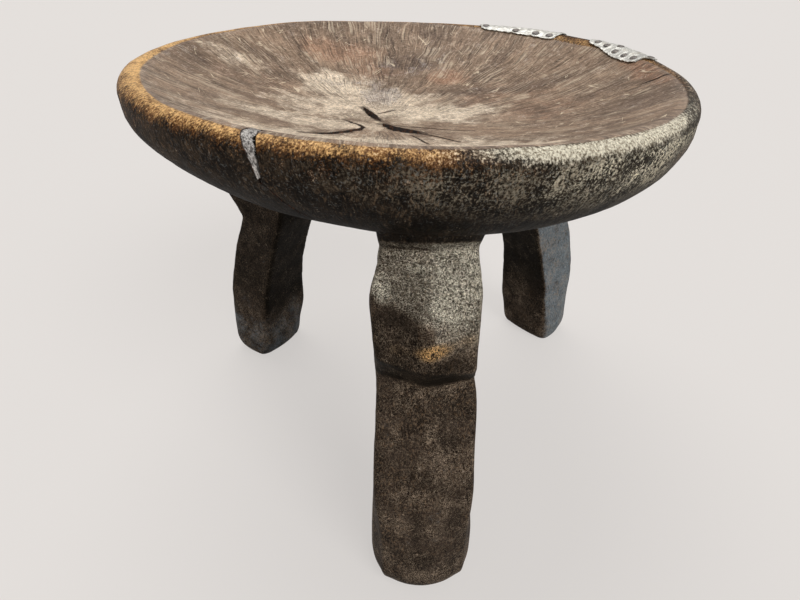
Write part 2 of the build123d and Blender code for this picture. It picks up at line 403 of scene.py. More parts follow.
def bellyCurve(knots):
    # a smooth curve through the knots, upright where it leaves the rim and level underneath
    first = np.array([knots[0][0] + 0.3, knots[0][1] - 12.0])
    last = np.array([-knots[-2][0], knots[-2][1]])
    track = np.vstack([first, knots, last])
    curve = []
    for index in range(1, len(track) - 2):
        a, b, c, d = track[index - 1:index + 3]
        steps = max(3, int(np.linalg.norm(c - b) / 3.4))
        for step in range(1, steps + 1):
            t = step / steps
            point = 0.5 * (2 * b + (c - a) * t + (2 * a - 5 * b + 4 * c - d) * t ** 2
                           + (3 * b - 3 * c + d - a) * t ** 3)
            curve.append((max(point[0], 0.0), -point[1]))
    return curve


def spinSeat():
    outline = seatOutline()
    deselectAll()
    bpy.ops.mesh.primitive_plane_add(size=0.001, location=(0, 0, 0))
    piece = bpy.context.object
    piece.name = "carvedBody"
    bpy.ops.object.mode_set(mode="EDIT")
    bpy.ops.mesh.merge(type="CENTER")
    start = (outline[0][0] * mm, 0, outline[0][1] * mm)
    bpy.ops.transform.translate(value=start)
    for before, after in zip(outline[:-1], outline[1:]):
        move = ((after[0] - before[0]) * mm, 0, (after[1] - before[1]) * mm)
        bpy.ops.mesh.extrude_region_move(TRANSFORM_OT_translate={"value": move})
    bpy.ops.mesh.select_all(action="SELECT")
    bpy.ops.mesh.spin(steps=seat["spokes"], angle=2 * math.pi, center=(0, 0, 0), axis=(0, 0, 1))
    bpy.ops.mesh.select_all(action="SELECT")
    bpy.ops.mesh.remove_doubles(threshold=2e-6)
    bpy.ops.mesh.normals_make_consistent(inside=False)
    bpy.ops.object.mode_set(mode="OBJECT")
    return piece


def shapeSeat(piece):
    # the rim isn't quite round or level, the belly sits off the rim's axis, and all of it undulates
    points = readPoints(piece) / mm
    x, y, z = points.T
    radius = np.hypot(x, y)
    turn = np.degrees(np.arctan2(y, x))
    down = -z
    outwards = points[:, :2] / np.maximum(radius, 1.0)[:, None]
    outside = (radius > crestRadius) | (down > dishDrop(radius) + 1.0)
    near = smoothStep(95, 172, radius) * (1.0 - smoothStep(8, 44, down) * outside)
    points[:, :2] += outwards * (around(turn, seat["rim"], 1) * near)[:, None]
    z += around(turn, seat["rim"], 2) * near
    low = smoothStep(16, 56, down) * outside
    x += seat["bellyShift"] * low
    z -= low * (x * seat["bellySink"])
    belt = smoothStep(8, 22, down) * (1.0 - smoothStep(30, 50, down)) * outside
    points[:, :2] += outwards * (belt * bulges(turn, seat["swellings"]))[:, None]
    wave = sum(height * cloud(points, size, seed) for size, seed, height in seat["waves"])
    z += wave * smoothStep(20, 120, radius)
    size, depth = seat["flats"]
    flat = np.abs(cloud(points * np.array([1.0, 1.0, 0.6]), size, 9.0))
    points[:, :2] -= outwards * (flat * depth * outside * smoothStep(6, 20, down))[:, None]
    writePoints(piece, points * mm)


def seatFrame():
    # from the seat's own frame, with the crest at zero, to where the seat stands
    pivot = Matrix.Translation((0, 0, -seat["rimRound"] * mm))
    lean = Matrix.Rotation(math.radians(seat["lean"]), 4, "Y")
    up = Matrix.Translation((0, 0, seat["height"] * mm))
    return up @ pivot @ lean @ pivot.inverted()


def legSections(place):
    # level, inner face, outer face, width, height of the ridge and dip of its middle
    inner = place["reach"] - place["depth"]
    kneeLow, kneeHigh = leg["knee"]
    sections = []
    for level, outerIn, innerIn, share, ridge in leg["levels"]:
        isRidge = level == leg["kneeRidge"]
        if level < leg["ankle"]:
            share *= place["foot"]
        elif level < leg["shankTop"]:
            share *= place["slim"]
        if level > leg["flareFrom"]:
            outerIn += place["flare"]
        if kneeLow < level < kneeHigh:
            outerIn -= place["knee"]
        sections.append((level - place["drop"] * isRidge, inner - innerIn, place["reach"] - outerIn,
                         place["width"] * share, ridge * place["ridge"], place["dip"] * isRidge))
    return sections


def raiseRidge(piece, sections):
    # the outer face's edges step back, which leaves a ridge down its middle
    points = readPoints(piece) / mm
    x, y, z = points.T
    for level, _, face, _, ridge, dip in sections:
        outer = (np.abs(z - level) < 0.1) & (np.abs(x - face) < 0.1)
        x[outer & (np.abs(y) > 1.0)] -= ridge
        z[outer & (np.abs(y) < 1.0)] -= dip
    writePoints(piece, points * mm)


def cutLeg(name, place):
    sections = legSections(place)
    deselectAll()
    bpy.ops.mesh.primitive_cube_add(size=1, location=(0, 0, 0))
    piece = bpy.context.object
    piece.name = name
    low, high, wide = sections[0][1:4]
    top = sections[1][0]
    piece.data.transform(
        Matrix.Translation(((low + high) / 2 * mm, 0, top / 2 * mm))
        @ Matrix.Diagonal(((high - low) * mm, wide * mm, top * mm, 1)))
    bpy.ops.object.mode_set(mode="EDIT")
    bpy.ops.mesh.select_mode(type="FACE")
    bpy.ops.mesh.select_all(action="DESELECT")
    mesh = bmesh.from_edit_mesh(piece.data)
    for face in mesh.faces:
        face.select_set(face.normal.z > 0.9)
    bmesh.update_edit_mesh(piece.data)
    for before, (level, newLow, newHigh, newWide, _, _) in zip(sections, sections[1:]):
        shift = (newLow + newHigh - low - high) / 2 * mm
        if level == top:
            bpy.ops.transform.translate(value=(shift, 0, 0))
        else:
            bpy.ops.mesh.extrude_region_move(
                TRANSFORM_OT_translate={"value": (shift, 0, (level - before[0]) * mm)})
        bpy.ops.transform.resize(
            value=((newHigh - newLow) / (high - low), newWide / wide, 1),
            center_override=((newLow + newHigh) / 2 * mm, 0, level * mm))
        low, high, wide = newLow, newHigh, newWide
    bpy.ops.mesh.select_all(action="SELECT")
    bpy.ops.mesh.bisect(plane_co=(0, 0, 0), plane_no=(0, 1, 0))
    bpy.ops.object.mode_set(mode="OBJECT")
    raiseRidge(piece, sections)
    for width, segments, bend in ((leg["corner"], 3, 55), (leg["crease"], 2, 16)):
        applyModifier(piece, "BEVEL", width=width * mm, segments=segments, limit_method="ANGLE",
                      angle_limit=math.radians(bend))
    applyModifier(piece, "REMESH", mode="VOXEL", voxel_size=leg["voxel"] * mm, use_smooth_shade=True)
    applyModifier(piece, "SMOOTH", factor=0.5, iterations=2)
    carveLeg(piece, place)
    piece.data.transform(Matrix.Rotation(math.radians(place["direction"]), 4, "Z"))
    return piece


def carveLeg(piece, place):
    # the foot is rounded outwards, the neck leans, and the adze has left shallow flats
    points = readPoints(piece) / mm
    x, y, z = points.T
    halfDepth, seed = place["depth"] / 2, place["direction"]
    middle = place["reach"] - halfDepth * 1.5
    side = (x - middle) / np.where(x > middle, halfDepth * 1.5 - 2.5, halfDepth * 0.5)
    across = y / (place["width"] / 2 * place["foot"])
    isOuter = side > 0
    power = np.where(isOuter, place["square"], place["squareIn"])
    square = (np.abs(side) ** 8 + np.abs(across) ** 8) ** (1 / 8)
    circle = (np.abs(side) ** power + np.abs(across) ** power) ** (1 / power)
    turnIn = np.where(circle > 0.01, square / np.maximum(circle, 0.01), 1.0) - 1.0
    turnIn *= 1.0 - np.where(isOuter, smoothStep(*leg["outerCorners"], z),
                             smoothStep(*leg["innerCorners"], z))
    x += (x - middle) * turnIn
    y += y * turnIn
    height, bend, drawDepth, drawWidth = leg["sole"]
    sole = np.clip(1 - z / height, 0, 1) ** bend
    x -= (x - middle) * sole * drawDepth
    y -= y * sole * drawWidth
    fromFront = smoothStep(0.45, 1.0, (place["reach"] - 8 - x) / place["depth"])
    y *= 1 - place["narrow"] * fromFront * (1 - smoothStep(*leg["narrowing"], z))
    y += place["sway"] * smoothStep(*leg["lean"], z)
    y += place["set"] * hump(z, *leg["setAt"])
    z -= place["tilt"] * across * hump(z, *leg["tiltAt"])
    normals = readPoints(piece, "normal")
    (flatSize, flatDepth), (waveSize, waveHeight) = leg["flats"], leg["waves"]
    flat = np.abs(cloud(points * np.array([1.0, 1.0, 0.45]), flatSize, seed))
    wave = cloud(points, waveSize, seed + 3.0)
    points += normals * ((wave * waveHeight - flat * flatDepth) * smoothStep(5.0, 26.0, z))[:, None]
    np.maximum(z, 0.0, out=z)
    writePoints(piece, points * mm)


def surfaceTree(piece):
    return BVHTree.FromObject(piece, bpy.context.evaluated_depsgraph_get())


def makeCutter(name, rings):
    # a closed body through rings of corners, in millimetres
    mesh = bmesh.new()
    made = [[mesh.verts.new(Vector(corner) * mm) for corner in ring] for ring in rings]
    for before, after in zip(made[:-1], made[1:]):
        for index in range(len(before)):
            other = (index + 1) % len(before)
            mesh.faces.new((before[index], before[other], after[other], after[index]))
    mesh.faces.new(made[0][::-1])
    mesh.faces.new(made[-1])
    bmesh.ops.recalc_face_normals(mesh, faces=mesh.faces)
    data = bpy.data.meshes.new(name)
    mesh.to_mesh(data)
    mesh.free()
    return linkObject(name, data)


def wedge(name, stations):
    # a three-sided cutter through stations of place, along, out, width and depth
    over = 1.5
    rings = []
    for place, along, out, width, depth in stations:
        spread = out.cross(along).normalized() * (width / 2 * (1 + over / depth))
        rings.append((place + out * over + spread, place + out * over - spread, place - out * depth))
    return makeCutter(name, rings)


def crackStations(tree, points, width, depth, fall):
    # a ragged line over the surface, thin at both ends; fall is the way from the air into the wood
    fine = []
    for a, b in zip(points[:-1], points[1:]):
        a, b = Vector(a), Vector(b)
        steps = max(2, int((b - a).length / crackLine["step"]))
        fine += [a.lerp(b, step / steps) for step in range(steps)]
    fine.append(Vector(points[-1]))
    smooth = [fine[0]] + [(a + b * 2 + c) / 4 for a, b, c in zip(fine, fine[1:], fine[2:])] + [fine[-1]]
    last = len(smooth) - 1
    stations = []
    for index, point in enumerate(smooth):
        place, out, _, _ = tree.ray_cast((point - fall * crackLine["above"]) * mm, fall)
        if place is None:
            continue
        along = (smooth[min(index + 1, last)] - smooth[max(index - 1, 0)]).normalized()
        swell = max(math.sin(math.pi * (index / last)) ** 0.7, crackLine["least"])
        rag = 1 + crackLine["rag"] * noise.noise(point / 3.0)
        wander = out.cross(along) * (crackLine["wander"] * noise.noise(point / 4.0 + Vector((9, 9, 9))))
        stations.append((place / mm + wander, along, out, width * swell * rag, depth * max(swell, 0.3)))
    return stations


def crackSides(drop):
    table = np.array(rimCrack["sides"], dtype=float)
    return [float(np.interp(drop, table[:, 0], table[:, column])) for column in (1, 2)]


def rimWedge():
    # the open crack through the rim: curving left side, upright right side
    beyond = 200
    bottom = rimCrack["sides"][-1][0]
    rings = []
    for drop, left, right in rimCrack["sides"]:
        share = max(drop / bottom, 0)
        leftFrom, rightFrom = (crestRadius - inset + less * share
                               for inset, less in (rimCrack["leftIn"], rimCrack["rightIn"]))
        corners = ((left, leftFrom), (right, rightFrom), (right, beyond), (left, beyond))
        rings.append([(radius * math.cos(math.radians(degrees)), radius * math.sin(math.radians(degrees)),
                       -drop) for degrees, radius in corners])
    cutter = makeCutter("rimWedge", rings)
    cutter.data.transform(seatFrame())
    return cutter


def cutCracks(body, wound):
    tree = surfaceTree(body)
    cutters = []
    for name, (points, width, depth) in dishCracks.items():
        line = [(x, y, crackLine["middle" if math.hypot(x, y) < crackLine["edgeFrom"] else "edge"])
                for x, y in points]
        cutters.append(wedge(name, crackStations(tree, line, width, depth, Vector((0, 0, -1)))))
    cutters.append(wedge("fissure", crackStations(
        tree, rimCrack["fissure"], rimCrack["fissureWidth"], rimCrack["fissureDepth"],
        Vector(rimCrack["fissureFall"]).normalized())))
    cutters.append(rimWedge())
    for cutter in cutters:
        cutter.data.materials.append(wound)
        applyModifier(body, "BOOLEAN", operation="DIFFERENCE", object=cutter, solver="MANIFOLD",
                      material_mode="TRANSFER")
        bpy.data.objects.remove(cutter)


def fromSegment(points, a, b):
    # how far each point lies from a segment, as a step sideways and a step back
    along = b - a
    share = np.clip(((points[:, :2] - a) @ along) / (along @ along), 0, 1)
    return points[:, :2] - a - share[:, None] * along


def curlEdges(body):
    # the far lips of the long slit and the hook have risen
    points = readPoints(body) / mm
    for name, (reach, rise) in risenLips.items():
        track = np.array(dishCracks[name][0], dtype=float)
        lift = np.zeros(len(points))
        for index, (a, b) in enumerate(zip(track[:-1], track[1:])):
            offset = fromSegment(points, a, b)
            away = np.linalg.norm(offset, axis=1)
            fade = math.sin(math.pi * (index + 0.5) / (len(track) - 1))
            lift = np.maximum(lift, rise * fade * hump(away, 0.0, reach) * (offset[:, 1] > 0) * (away > 0.6))
        points[:, 2] += lift * (points[:, 2] > 240)
    writePoints(body, points * mm)


def makeBody(wood, wound):
    body = spinSeat()
    shapeSeat(body)
    body.data.transform(seatFrame())
    body.data.materials.append(wood)
    print("seat", len(body.data.polygons))
    for name, sizes in legPlaces.items():
        post = cutLeg("leg_" + name, sizes)
        post.data.materials.append(wood)
        print("leg", name, len(post.data.polygons))
        applyModifier(body, "BOOLEAN", operation="UNION", object=post, solver="MANIFOLD")
        bpy.data.objects.remove(post)
    cutCracks(body, wound)
    curlEdges(body)
    shadeByAngle(body, 38)
    print("body", len(body.data.polygons), [slot.name for slot in body.data.materials])
    return body


def patches(first, second, spots, full, none, ragged=0.0, join=np.maximum):
    # soft patches of tone, worn places, painted shade and painted light: middle, half sizes, strength; whole
    # up to full, gone at none
    level = np.zeros(len(first))
    for x, y, wide, tall, strength in spots:
        away = np.hypot((first - x) / wide, (second - y) / tall) + ragged
        level = join(level, strength * (1.0 - smoothStep(full, none, away)))
    return level


def storeColour(piece, name, channels):
    layer = piece.data.color_attributes.new(name, "FLOAT_COLOR", "POINT")
    values = np.stack(channels, axis=1).astype(np.float32)
    layer.data.foreach_set("color", values.ravel())


def paintZones(body):
    world = readPoints(body) / mm
    worldNormal = readPoints(body, "normal")
    back = np.array(seatFrame().inverted())
    points = world @ back[:3, :3].T + back[:3, 3] / mm
    up = (worldNormal @ back[:3, :3].T)[:, 2]
    radius = np.hypot(points[:, 0], points[:, 1])
    turn = np.degrees(np.arctan2(points[:, 1], points[:, 0]))
    down = -points[:, 2]
    outline = np.array(seatOutline())
    under = outline[np.argmax(outline[:, 0]):][::-1]
    belly = np.interp(radius, under[:, 0], -under[:, 1])
    isLeg = smoothStep(3.5, 6.0, down - belly)
    offLeg = 1 - isLeg
    top = smoothStep(0.05, 0.3, up) * (down < 50) * offLeg
    outside = (1 - top) * offLeg
    # millimetres outwards from the crest, over the rim and down the side
    run = np.where(radius < crestRadius, radius - crestRadius, (radius - crestRadius) + np.maximum(down, 0))
    run = np.where((down > 20) & (top < 0.5), down + seat["rimRound"], run)
    ragged = cloud(points, 16.0, 2.0) + 0.5 * cloud(points, 6.0, 7.0)
    past = run - around(turn, seat["lipStart"], 1)
    dish = (1 - smoothStep(-3.5, 3.5, past)) * smoothStep(0.0, 0.3, up) * offLeg
    # patches on the dish; the pale ones are worn wood with a painted sheen, the blue ones a painted
    # reflection
    pale, red, dark, blue = (
        patches(points[:, 0], points[:, 1], wearAndPaintedLight[name], 0.35, 1.25, ragged * 0.35) * dish
        for name in ("pale", "red", "dark", "blue"))
    wider = 1 + bulges(turn, wearAndPaintedLight["widerBelt"])
    past = np.where(past > 3, 3 + (past - 3) / wider, past)
    belt = profile(past, wearAndPaintedLight["belt"]) * offLeg
    belt *= smoothStep(-0.5, 0.1, up + 0.02 * (40 - np.minimum(down, 40)))
    belt *= 0.9 + 0.2 * ragged
    # painted highlight: a bright line along the crest, strongest at the right front
    crestHighlight = profile(run - bulges(turn, wearAndPaintedLight["lowerCrest"]), wearAndPaintedLight["crest"]) * offLeg
    crestHighlight *= np.minimum(bulges(turn, wearAndPaintedLight["crestHighlight"]), 1.08)
    gold = belt * around(turn, seat["gold"], 1) * (1 - np.minimum(0.85 * crestHighlight, 1.0))
    # the belly's right is painted lighter as a greyish speckle: partly the wood's own specks, partly painted
    # light from the right
    greyAndLit = outside * bulges(turn, wearAndPaintedLight["greyAndLit"])
    greyAndLit *= 1 - 0.8 * smoothStep(20, 42, down)
    greyAndLit += outside * bulges(turn, wearAndPaintedLight["greyFront"]) * (1 - smoothStep(14, 34, down))
    greyAndLit = np.clip(greyAndLit * (0.85 + 0.6 * ragged), 0, 1)
    # painted shade: darker towards the belly's underside, less so on its right
    low = outside * smoothStep(14, 46, down) * (1 - bulges(turn, wearAndPaintedLight["paleUnder"]))
    zonesLeg(world, worldNormal @ back[:3, :3].T, isLeg, blue, dark, greyAndLit, gold)
    storeColour(body, "zonesA", (isLeg, pale, red, np.clip(dark, 0, 1)))
    storeColour(body, "zonesB", (gold, crestHighlight, np.clip(blue, 0, 1), woundNear(world)))
    storeColour(body, "zonesC", (dish, low, np.clip(greyAndLit, 0, 1), belt))


def zonesLeg(world, normal, isLeg, blue, dark, greyAndLit, gold):
    # the legs' painted shade, painted light and worn gold, added to the masks in place
    x, y, z = world.T
    turn = np.degrees(np.arctan2(y, x))
    facing = (normal[:, 0] * x + normal[:, 1] * y) / np.maximum(np.hypot(x, y), 1.0)
    inner = smoothStep(0.25, 0.85, -facing)
    below = smoothStep(0.15, 0.6, -normal[:, 2]) * smoothStep(120, 150, z)
    high = smoothStep(30, 80, z)
    left, front, right = (bulge(turn, *wearAndPaintedLight["legs"][name]) for name in ("left", "front", "right"))
    # painted shade on the front knee: its lower-left facet, the undercuts and the neck under the belly
    stain = patches(x, z, wearAndPaintedLight["kneeShade"], 0.6, 1.15)
    shaded = inner * (0.3 + 0.7 * high) + 0.9 * below + 0.72 * left * high + front * stain
    dark += isLeg * np.clip(shaded, 0, 1)
    # painted reflection of cool light on the rear-right leg's outer side; the rear-left foot turns a bluish
    # tone
    right *= smoothStep(-0.3, 0.5, normal[:, 0]) * smoothStep(0.0, 0.6, -normal[:, 1])
    foot = left * (1 - smoothStep(25, 70, z))
    blue += isLeg * np.clip(0.9 * right + 0.5 * foot, 0, 1)
    gold += isLeg * front * patches(x, z, wearAndPaintedLight["kneeGold"], 0.2, 1.2, join=np.add)
    # painted light on the front knee: its upper facets lighter, its right faces lighter still, and painted
    # highlights where it gleams
    height, rise, middle = wearAndPaintedLight["fold"]
    upper = smoothStep(-3.5, 3.0, z - height - rise * np.abs(x - middle))
    lower = (1 - upper) * smoothStep(166, 178, z)
    gleam = patches(x, z, wearAndPaintedLight["kneeGleam"], 0.3, 1.3)
    rightFace = smoothStep(-1.0, 3.0, x - 3.5)
    facets = upper * (0.28 + 0.32 * rightFace) + lower * 0.26 * rightFace
    greyAndLit += isLeg * front * (facets * (1 - stain) + gleam * 0.6)


def woundNear(world):
    # darker close to the cracks, 1 at the crack
    level = np.zeros(len(world))
    for points, width, _ in dishCracks.values():
        track = np.array(points, dtype=float)
        for a, b in zip(track[:-1], track[1:]):
            away = np.linalg.norm(fromSegment(world, a, b), axis=1)
            level = np.maximum(level, 1 - smoothStep(width * 0.35, width * 0.5 + 2.2, away))
    return level * (world[:, 2] > 235)


def rimTrack():
    # the rim's profile as run along it from the crest, radius and height
    outline = np.array(seatOutline())
    steps = np.linalg.norm(np.diff(outline, axis=0), axis=1)
    run = np.concatenate([[0], np.cumsum(steps)])
    middle = run[np.argmin(np.hypot(outline[:, 0] - crestRadius, outline[:, 1]))]
    return run - middle, outline[:, 0], outline[:, 1]


def rimPoint(track, degrees, run):
    radius = np.interp(run, track[0], track[1])
    height = np.interp(run, track[0], track[2])
    out = float(around(degrees, seat["rim"], 1))
    up = float(around(degrees, seat["rim"], 2))
    angle = math.radians(degrees)
    local = Vector(((radius + out) * math.cos(angle), (radius + out) * math.sin(angle), height + up))
    return seatFrame() @ (local * mm)


def layGrid(name, columns, rows, spot, thickness, offset, bend):
    # a sheet of corners, each put down with its outward way by spot, and made solid
    deselectAll()
    bpy.ops.mesh.primitive_grid_add(x_subdivisions=columns, y_subdivisions=rows, size=1)
    piece = bpy.context.object
    piece.name = name
    laid = [spot(x + 0.5, y + 0.5) for x, y, _ in readPoints(piece)]
    writePoints(piece, np.array([place for place, _ in laid]))
    if (readPoints(piece, "normal") * np.array([out for _, out in laid])).sum() < 0:
        piece.data.flip_normals()
    applyModifier(piece, "SOLIDIFY", thickness=thickness * mm, offset=offset)
    return shadeByAngle(piece, bend)


def makeStrip(name, sizes, tree, track):
    start, end = sizes["start"], sizes["end"]
    inner = np.array(sizes["inner"][::-1])
    outer = np.array(sizes["outer"][::-1])

    def spot(along, across):
        degrees = float(start + (end - start) * along)
        low = float(np.interp(degrees, inner[:, 0], inner[:, 1]))
        high = float(np.interp(degrees, outer[:, 0], outer[:, 1]))
        rag = noise.noise(Vector((degrees * 0.8, 3.0, across * 2))) * stripSheet["ragged"]
        run = low + (high - low) * across + rag
        degrees += 0.25 * noise.noise(Vector((run * 0.5, degrees, 1.0)))
        wood, out, _, _ = tree.find_nearest(rimPoint(track, degrees, run))
        dent = noise.noise(Vector((degrees * 0.9, run * 0.35, 5.0)))
        curl = (1 - smoothStep(0.0, 0.16, across)) * (0.6 + noise.noise(Vector((degrees, 0, 8.0))))
        lift = stripSheet["gap"] + stripSheet["dents"] * dent + stripSheet["curl"] * curl
        for turn, offset in sizes["nails"]:
            # the sheet is pressed in under a nail and stands up round it
            away = math.hypot((degrees - turn) * stripSheet["perDegree"], run - offset)
            lift += 0.35 * math.exp(-((away - 4.6) / 1.1) ** 2) - 0.25 * math.exp(-(away / 3.0) ** 2)
        return wood + out * (max(lift, stripSheet["least"]) * mm), out

    columns = int(abs(start - end) / stripSheet["step"]) + 1
    return layGrid(name, columns, stripSheet["across"], spot, stripSheet["thick"], 1.0, 50)


def makeNail(degrees, wood, out):
    deselectAll()
    bpy.ops.mesh.primitive_uv_sphere_add(segments=20, ring_count=12, radius=1, location=(0, 0, 0))
    head = bpy.context.object
    points = readPoints(head)
    points *= (1 + nail["dents"] * cloud(points, 0.8, degrees))[:, None]
    points[:, 2] = np.maximum(points[:, 2], -nail["flat"])
    points[points[:, 2] < 0.01 - nail["flat"], :2] *= nail["neck"]
    points *= np.array([nail["deep"], nail["wide"], nail["high"]])
    writePoints(head, points * mm)
    deselectAll()
    bpy.ops.mesh.primitive_cylinder_add(vertices=12, radius=nail["shank"] * mm, depth=nail["length"] * mm,
                                        location=(0, 0, -nail["length"] / 2 * mm))
    shank = bpy.context.object
    shank.data.transform(Matrix.Translation(shank.location))
    shank.location = (0, 0, 0)
    head = joinPieces([head, shank])
    lift = (stripSheet["gap"] + stripSheet["thick"] - nail["sunk"]) * mm
    tangent = Vector((-math.sin(math.radians(degrees)), math.cos(math.radians(degrees)), 0))
    side = tangent.cross(out).normalized()
    basis = Matrix((side, out.cross(side), out)).transposed().to_4x4()
    head.data.transform(Matrix.Translation(wood + out * lift) @ basis)
    return head


def makeNails(tree, track):
    heads = []
    for sizes in strips.values():
        for degrees, run in sizes["nails"]:
            wood, out, _, _ = tree.find_nearest(rimPoint(track, degrees, run))
            heads.append(makeNail(degrees, wood, out))
    piece = joinPieces(heads)
    piece.name = "nailHeads"
    return shadeByAngle(piece, 45)


def makeFiller(track):
    # a ragged plug of filler pressed into the left part of the crack
    centre = Vector((0, 0, (seat["height"] - 9) * mm))

    def spot(across, along):
        run = filler["start"] + filler["length"] * along
        drop = float(np.interp(run, track[0], -track[2])) if run > 0 else 0.0
        left, right = crackSides(drop)
        share = filler["share"] - filler["taper"] * along
        share += 0.07 * math.sin(run * 0.9) + 0.05 * noise.noise(Vector((run, 3, 1)))
        edge = left + (right - left) * share
        degrees = left - 0.15 + (edge - left + 0.15) * across
        place = rimPoint(track, degrees, run)
        ring = Vector((place.x, place.y, 0)).normalized() * ((seat["radius"] - filler["ring"]) * mm) + centre
        out = (place - ring).normalized()
        crown = (1 - (2 * across - 1) ** 2) ** 0.5
        fibre = noise.noise(Vector((degrees * 5 + run * 0.9, run * 0.3, 2.0)))
        lump = noise.noise(Vector((degrees * 1.8, run * 0.35, 6.0)))
        lift = filler["crown"] * crown + filler["fibre"] * fibre + filler["lump"] * lump
        lift -= filler["sunk"] + filler["slant"] * across
        return place + out * (lift * mm), out

    return layGrid("fillerPlug", filler["across"], filler["along"], spot, filler["thick"], -1.0, 60)


def placeCamera():
    width, height = 800.0, 600.0
    data = bpy.data.cameras.new("camera")
    data.sensor_width = 36.0
    data.lens = camera["focal"] / width * data.sensor_width
    data.shift_x = (width / 2 - camera["middle"][0]) / width
    data.shift_y = (camera["middle"][1] - height / 2) / width
    data.clip_start = 0.01
    view = linkObject("camera", data)
    turn, dip, roll = (math.radians(camera[name]) for name in ("azimuth", "pitch", "roll"))
    ahead = Vector((-math.sin(turn) * math.cos(dip), math.cos(turn) * math.cos(dip), -math.sin(dip)))
    side = ahead.cross(Vector((0, 0, 1))).normalized()
    over = side.cross(ahead)
    right = side * math.cos(roll) + over * math.sin(roll)
    up = -side * math.sin(roll) + over * math.cos(roll)
    turned = Matrix((right, up, -ahead)).transposed().to_4x4()
    view.matrix_world = Matrix.Translation(Vector(camera["place"]) * mm) @ turned
    bpy.context.scene.camera = view


def sun(name, towards, strength, spread, colour):
    lamp = bpy.data.lights.new(name, "SUN")
    lamp.energy = strength
    lamp.angle = math.radians(spread)
    lamp.color = colour
    linkObject(name, lamp).rotation_euler = Vector(towards).to_track_quat("Z", "Y").to_euler()


class Socket:
    # a shader socket that takes part in arithmetic
    def __init__(self, paint, link):
        self.paint = paint
        self.link = link

    def math(self, operation, first, second=0.0):
        return self.paint.node("ShaderNodeMath", {"operation": operation}, {0: first, 1: second})

    def __add__(self, other):
        return self.math("ADD", self, other)

    __radd__ = __add__

    def __mul__(self, other):
        return self.math("MULTIPLY", self, other)

    __rmul__ = __mul__

    def __sub__(self, other):
        return self.math("SUBTRACT", self, other)

    def __rsub__(self, other):
        return self.math("SUBTRACT", other, self)

    def __truediv__(self, other):
        return self.math("DIVIDE", self, other)

    def __pow__(self, other):
        return self.math("POWER", self, other)

    def __abs__(self):
        return self.math("ABSOLUTE", self)

    def atLeast(self, other):
        return self.math("MAXIMUM", self, other)

    def angle(self, other):
        return self.math("ARCTAN2", self, other)


class Paint:
    # one material and its nodes
    def __init__(self, name):
        self.material = bpy.data.materials.new(name)
        self.material.use_nodes = True
        self.tree = self.material.node_tree
        self.tree.nodes.clear()

    def node(self, kind, settings=None, values=None, out=0):
        made = self.tree.nodes.new(kind)
        for name, value in (settings or {}).items():
            setattr(made, name, value)
        for name, value in (values or {}).items():
            if isinstance(value, Socket):
                self.tree.links.new(value.link, made.inputs[name])
            else:
                made.inputs[name].default_value = value
        return None if out is None else Socket(self, made.outputs[out])

    def mix(self, factor, first, second):
        return self.node("ShaderNodeMix", {"data_type": "RGBA"}, {0: factor, 6: first, 7: second}, 2)

    def mixLevels(self, factor, first, second):
        return self.node("ShaderNodeMix", {"data_type": "FLOAT"}, {0: factor, 2: first, 3: second}, 0)

    def cover(self, colour, share, name):
        return self.mix(share, colour, tone(name))

    def between(self, value, low, high, first, second):
        # from one tone to another as the value rises
        return self.mix(self.band(value, low, high), tone(first), tone(second))

    def band(self, value, low, high):
        # 0 below low, 1 above high, smooth between
        return self.node("ShaderNodeMapRange", {"interpolation_type": "SMOOTHSTEP"},
                         {0: value, 1: low, 2: high, 3: 0.0, 4: 1.0})

    def noise(self, vector, scale=1.0, detail=3.0, rough=0.55, twist=0.0):
        return self.node("ShaderNodeTexNoise", {},
                         {"Vector": vector, "Scale": scale, "Detail": detail, "Roughness": rough,
                          "Distortion": twist})

    def join(self, x, y, z):
        return self.node("ShaderNodeCombineXYZ", {}, {0: x, 1: y, 2: z})

    def stretch(self, vector, scale):
        return self.node("ShaderNodeVectorMath", {"operation": "MULTIPLY"}, {0: vector, 1: scale})

    def shift(self, vector, move):
        return self.node("ShaderNodeVectorMath", {"operation": "ADD"}, {0: vector, 1: move})

    def dim(self, colour, level):
        return self.node("ShaderNodeVectorMath", {"operation": "SCALE"}, {0: colour, 3: level})

    def warp(self, vector, source, scale, reach):
        # pushed about, half of the reach on average
        push = self.node("ShaderNodeTexNoise", {}, {"Vector": source, "Scale": scale, "Detail": 2.0}, 1)
        return self.shift(vector, self.dim(push, reach))

    def place(self):
        # the object's own coordinates, in millimetres
        vector = self.node("ShaderNodeTexCoord", {}, {}, "Object")
        return self.stretch(vector, (1000.0, 1000.0, 1000.0))

    def split(self, vector):
        return [self.node("ShaderNodeSeparateXYZ", {}, {0: vector}, axis) for axis in (0, 1, 2)]

    def zone(self, name):
        # four painted masks of the mesh
        colour = self.node("ShaderNodeAttribute", {"attribute_name": name}, {}, "Color")
        masks = [self.node("ShaderNodeSeparateColor", {}, {0: colour}, index) for index in (0, 1, 2)]
        return masks + [self.node("ShaderNodeAttribute", {"attribute_name": name}, {}, "Alpha")]

    def bump(self, height, strength, distance):
        return self.node("ShaderNodeBump", {},
                         {"Height": height, "Strength": strength, "Distance": distance * mm})

    def surface(self, shader):
        self.node("ShaderNodeOutputMaterial", {}, {"Surface": shader}, None)
        return self.material

    def finish(self, **sockets):
        values = {name.replace("_", " "): value for name, value in sockets.items()}
        return self.surface(self.node("ShaderNodeBsdfPrincipled", {}, values))


def tone(name):
    # a screen colour as the linear colour that shaders take
    shares = [level / 255.0 for level in tones[name]]
    return (*(share / 12.92 if share <= 0.04045 else ((share + 0.055) / 1.055) ** 2.4 for share in shares),
            1.0)


